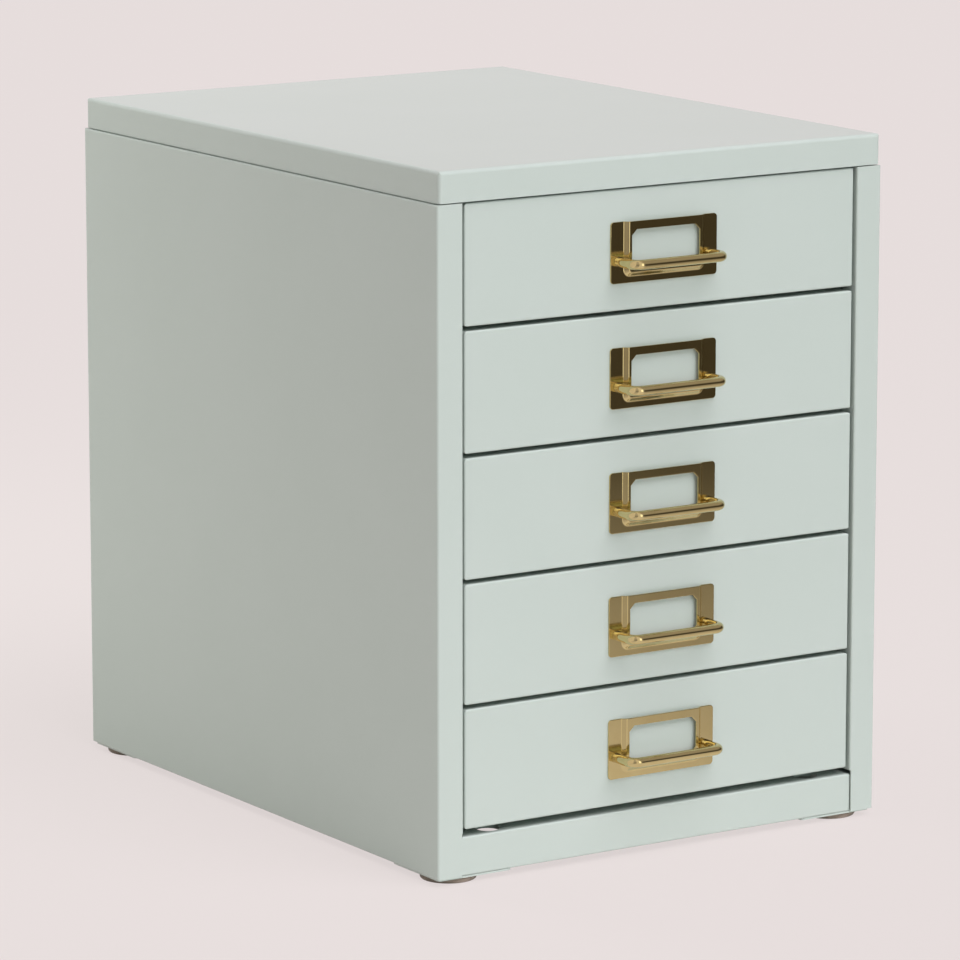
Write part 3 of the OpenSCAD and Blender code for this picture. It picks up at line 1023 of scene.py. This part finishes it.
@dataclass
class Studio:
    """A plain pale floor, even light from all round, three soft lamps, the mirror cards and the camera."""

    backdrop_colour: str = "#E6DDDC"
    room_colour: str = "#FAF7F4"
    room_strength: float = 0.30
    floor_size: float = 24.0
    floor_lines: int = 9
    floor_glow: float = 0.86
    key: SoftSun = SoftSun("studio_key", (0.10, -0.52, 0.85), 2.54, 50.0, "#FEF8FF")
    low_fill: SoftSun = SoftSun("studio_low_fill", (0.15, -1.0, 0.06), 0.94, 40.0, "#E6FFFC")
    side_fill_place: tuple[float, float, float] = (-0.42, 0.95, 0.55)
    side_fill_size: float = 0.5
    side_fill_watts: float = 4.2
    side_fill_colour: str = "#F7FFF6"
    azimuth_deg: float = -33.077
    elevation_deg: float = 10.981
    distance: float = 2.937
    aside: float = 0.0957
    above: float = -0.1924
    lens_mm: float = 208.08
    sensor_mm: float = 36.0
    far_limit: float = 60.0

    def build(self) -> None:
        """Set up the floor, the world, the lamps, the cards and the camera."""
        self.world()
        self.floor()
        self.key.build()
        self.low_fill.build()
        self.side_fill()
        MirrorCards().build()
        self.camera()

    def seen(self, tree: bpy.types.NodeTree, share: float) -> bpy.types.NodeSocket:
        """Tell the rays of the camera and of shiny metal from those that light the set.

        Args:
            tree: The node tree of the world or of the floor.
            share: The value for a ray of the camera or of shiny metal.

        Returns:
            That share, or 0 for the rays that light the set.
        """
        path = add(tree, "ShaderNodeLightPath")
        either = calculate(tree, "MAXIMUM", path.outputs["Is Camera Ray"], path.outputs["Is Glossy Ray"])
        every = calculate(tree, "MAXIMUM", either, path.outputs["Is Transmission Ray"])
        return calculate(tree, "MULTIPLY", every, share)

    def world(self) -> None:
        """Light the room evenly, and show the camera and shiny metal the pale backdrop."""
        world = bpy.data.worlds.new("studio_world")
        world.use_nodes = True
        tree = world.node_tree
        tree.nodes.clear()
        backdrop = add(tree, "ShaderNodeBackground", {"Color": linear(self.backdrop_colour), "Strength": 1.0})
        room = add(
            tree, "ShaderNodeBackground", {"Color": linear(self.room_colour), "Strength": self.room_strength}
        )
        mix = add(
            tree, "ShaderNodeMixShader", {0: self.seen(tree, 1.0), 1: room.outputs[0], 2: backdrop.outputs[0]}
        )
        add(tree, "ShaderNodeOutputWorld", {"Surface": mix.outputs[0]})
        bpy.context.scene.world = world

    def floor(self) -> None:
        """Lay the pale floor, a flat grid far wider than the view.

        The paper's own colour is the backdrop's colour over the light that falls on it, so that the open
        floor meets the backdrop without an edge. Most of what the camera sees is that colour itself, and
        the rest is the lit paper, which keeps the object's shadow.
        """
        place = np.linspace(-self.floor_size / 2, self.floor_size / 2, self.floor_lines)
        x, y = np.meshgrid(place, place, indexing="ij")
        points = np.stack([x, y, np.zeros_like(x)], axis=-1)
        falling = np.array(linear(self.room_colour)[:3]) * self.room_strength
        falling += self.key.falling(UP) + self.low_fill.falling(UP)
        paper_colour = (*(np.array(linear(self.backdrop_colour)[:3]) / falling), 1.0)
        material, tree, _ = new_material("studio_floor_paper")
        paper = add(tree, "ShaderNodeBsdfDiffuse", {"Color": paper_colour})
        glow = add(tree, "ShaderNodeEmission", {"Color": linear(self.backdrop_colour), "Strength": 1.0})
        mix = add(
            tree, "ShaderNodeMixShader",
            {0: self.seen(tree, self.floor_glow), 1: paper.outputs[0], 2: glow.outputs[0]},
        )
        add(tree, "ShaderNodeOutputMaterial", {"Surface": mix.outputs[0]})
        faces = grid_faces(self.floor_lines, self.floor_lines, False)[:, ::-1]
        make_object("studio_floor", points, faces, material)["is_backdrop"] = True

    def side_fill(self) -> None:
        """Stand a soft square lamp behind at the left, near enough to light the rear more than the front."""
        light = bpy.data.lights.new("studio_side_fill", "AREA")
        light.energy, light.size = self.side_fill_watts, self.side_fill_size
        light.color = linear(self.side_fill_colour)[:3]
        lamp = bpy.data.objects.new("studio_side_fill", light)
        low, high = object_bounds()
        middle = Vector([(a + b) / 2 for a, b in zip(low, high)])
        place = Vector(self.side_fill_place)
        lamp.location = place
        lamp.rotation_euler = (place - middle).to_track_quat("Z", "Y").to_euler()
        lamp.visible_glossy = lamp.visible_camera = False
        bpy.context.scene.collection.objects.link(lamp)

    def camera(self) -> None:
        """Stand the camera at the front left, aimed past the middle of the front's lower edge."""
        low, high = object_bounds()
        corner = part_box("left_side_panel")[0]
        pivot = Vector(((low[0] + high[0]) / 2, corner.y, corner.z))
        turn, tip = math.radians(self.azimuth_deg), math.radians(self.elevation_deg)
        back = Vector((math.sin(turn) * math.cos(tip), -math.cos(turn) * math.cos(tip), math.sin(tip)))
        right = Vector((math.cos(turn), math.sin(turn), 0.0))
        up = back.cross(right)
        place = pivot - right * self.aside - up * self.above + back * self.distance
        data = bpy.data.cameras.new("studio_camera")
        data.lens, data.sensor_width, data.sensor_fit = self.lens_mm, self.sensor_mm, "HORIZONTAL"
        data.clip_end = self.far_limit
        camera = bpy.data.objects.new("studio_camera", data)
        turned = Matrix((right, up, back)).transposed().to_4x4()
        camera.matrix_world = Matrix.Translation(place) @ turned
        bpy.context.scene.collection.objects.link(camera)
        bpy.context.scene.camera = camera


def main() -> None:
    """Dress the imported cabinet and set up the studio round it."""
    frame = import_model()
    coat, zinc, felt = PowderCoat().build(), ZincPlate().build(), WoolFelt().build()
    wire = PolishedBrass("polished_brass_wire", Grain.BUFFED).build()
    plate = PolishedBrass("polished_brass_plate", Grain.BRUSHED).build()
    log.info("steel nodes dressed: %d", len(SteelWork(frame, coat, zinc).build()))
    for drawer in DRAWERS:
        log.info("%s", LabelHolder(drawer, plate).build().name)
        log.info("%s", WirePull(drawer, wire).build().name)
    for side in SIDES:
        for end in ENDS:
            log.info("%s", FeltFoot(side, end, felt).build().name)
    Studio().build()
    bpy.context.scene.view_settings.view_transform = "Standard"


if __name__ == "__main__":
    main()
